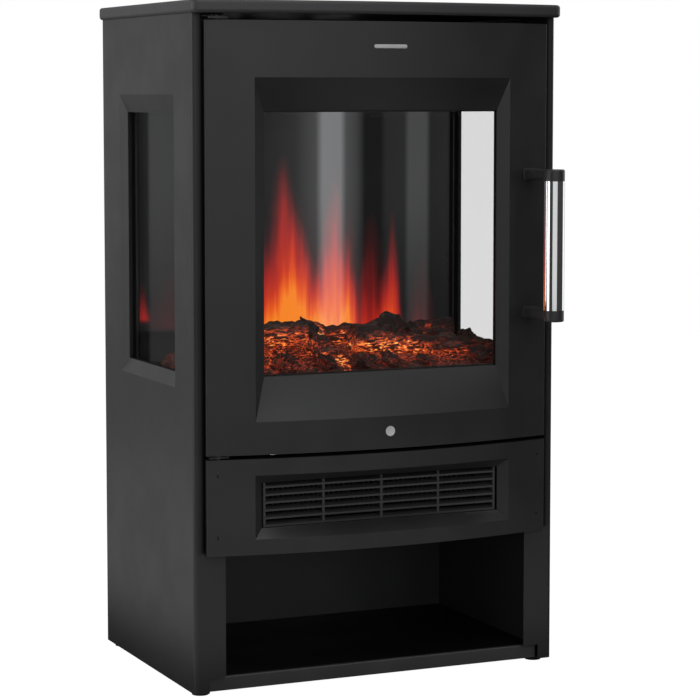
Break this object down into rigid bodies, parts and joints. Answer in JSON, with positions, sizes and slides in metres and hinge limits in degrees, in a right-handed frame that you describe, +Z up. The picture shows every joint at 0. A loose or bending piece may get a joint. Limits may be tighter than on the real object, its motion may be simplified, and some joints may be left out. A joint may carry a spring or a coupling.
{
  "type": "electric fireplace",
  "caption": "Free-standing stove-style electric fireplace with a bowed glazed door, side windows, flame screen over a log bed, fan heater outlet and open log niche.",
  "frame": {"origin": "middle of the bottom of the bounding box, on the floor under the rubber feet", "axes": "+X to the right seen from the front, +Y towards the back, +Z up"},
  "size_m": [0.364, 0.31, 0.615],
  "materials": {
    "satin_black_steel": "satin black heat-resistant powder coat, fine texture",
    "zinc_steel": "bright zinc plate",
    "black_slab": "moulded board core, satin black lacquer all over",
    "black_plastic": "fine matt black moulding",
    "black_rubber": "matt black rubber",
    "tinted_glass": "clear toughened glass with a slight grey tint",
    "flame_screen": "dark glossy translucent screen lit from behind",
    "polished_chrome": "polished chrome",
    "ember_resin": "translucent moulded ember bed, dusted charcoal",
    "charred_log": "moulded charred bark, dry-brushed ash and brown",
    "circuit_board": "green solder mask",
    "heater_fins": "bare aluminium fins",
    "motor_case": "plated steel can",
    "fan_plastic": "pressed aluminium blades",
    "mirror_foil": "bright mirrored reflector flags",
    "magnet_black": "black moulded magnet case",
    "receiver_lens": "dark red glossy infrared window",
    "button_grey": "dark grey matt button"
  },
  "bodies": {
    "cabinet": {"back_log": "charred_log", "back_panel": "satin_black_steel", "base_board": "satin_black_steel", "cabinet_screws": "zinc_steel", "cable_gland": "black_plastic", "catch_magnet": "magnet_black", "control_board": "circuit_board", "control_panel": "black_plastic", "ember_bed": "ember_resin", "ember_led_board": "circuit_board", "fan_bearing": "zinc_steel", "fan_casing": "zinc_steel", "fan_motor": "motor_case", "firebox_ceiling": "satin_black_steel", "firebox_tray": "satin_black_steel", "flame_led_strip": "circuit_board", "flame_screen": "flame_screen", "front_log": "charred_log", "heater_bay_cover": "zinc_steel", "heater_frame": "black_plastic", "heater_shelf": "satin_black_steel", "heating_element": "heater_fins", "hinge_brackets": "satin_black_steel", "hinge_pins": "zinc_steel", "left_log": "charred_log", "left_side_panel": "satin_black_steel", "left_window_glass": "tinted_glass", "lower_fascia": "satin_black_steel", "middle_rail": "satin_black_steel", "niche_liner": "satin_black_steel", "outlet_duct": "zinc_steel", "outlet_grille": "black_plastic", "power_board": "circuit_board", "receiver_window": "receiver_lens", "right_log": "charred_log", "right_side_panel": "satin_black_steel", "right_window_glass": "tinted_glass", "rotor_brackets": "black_plastic", "rotor_motor": "motor_case", "rubber_feet": "black_rubber", "switch_housing": "black_plastic", "thermal_cutout": "motor_case", "top_rail": "satin_black_steel", "top_slab": "black_slab", "window_retainers": "black_plastic", "window_seals": "black_rubber"},
    "door": {"door_frame": "satin_black_steel", "door_seal": "black_rubber", "door_glass": "tinted_glass", "glass_retainer": "satin_black_steel", "handle_bar": "polished_chrome", "handle_brackets": "black_plastic", "door_screws": "zinc_steel", "strike_plate": "zinc_steel"},
    "fan": {"fan_wheel": "fan_plastic"},
    "flicker_rotor": {"flame_rotor": "mirror_foil"},
    "power_key": {"power_button": "button_grey"},
    "heat_key": {"heat_button": "button_grey"},
    "flame_key": {"flame_button": "button_grey"},
    "rocker": {"rocker_switch": "black_plastic"}
  },
  "joints": [
    {"name": "door_hinge", "type": "hinge", "parent": "cabinet", "child": "door", "pos_m": [-0.157, -0.09427, 0.4035], "axis": [0, 0, -1], "range_deg": [0, 110]},
    {"name": "fan_spin", "type": "hinge", "parent": "cabinet", "child": "fan", "pos_m": [0, 0.01872, 0.1695], "axis": [1, 0, 0], "continuous": true},
    {"name": "flicker_spin", "type": "hinge", "parent": "cabinet", "child": "flicker_rotor", "pos_m": [0, 0.12072, 0.3055], "axis": [1, 0, 0], "continuous": true},
    {"name": "power_press", "type": "slide", "parent": "cabinet", "child": "power_key", "axis": [0, 1, 0], "range_m": [0, 0.0015], "stiffness_N_per_m": 600, "springref_m": -0.0005},
    {"name": "heat_press", "type": "slide", "parent": "cabinet", "child": "heat_key", "axis": [0, 1, 0], "range_m": [0, 0.0015], "stiffness_N_per_m": 600, "springref_m": -0.0005},
    {"name": "flame_press", "type": "slide", "parent": "cabinet", "child": "flame_key", "axis": [0, 1, 0], "range_m": [0, 0.0015], "stiffness_N_per_m": 600, "springref_m": -0.0005},
    {"name": "rocker_tilt", "type": "hinge", "parent": "cabinet", "child": "rocker", "pos_m": [0.12, 0.14572, 0.2435], "axis": [1, 0, 0], "range_deg": [0, 12]}
  ]
}
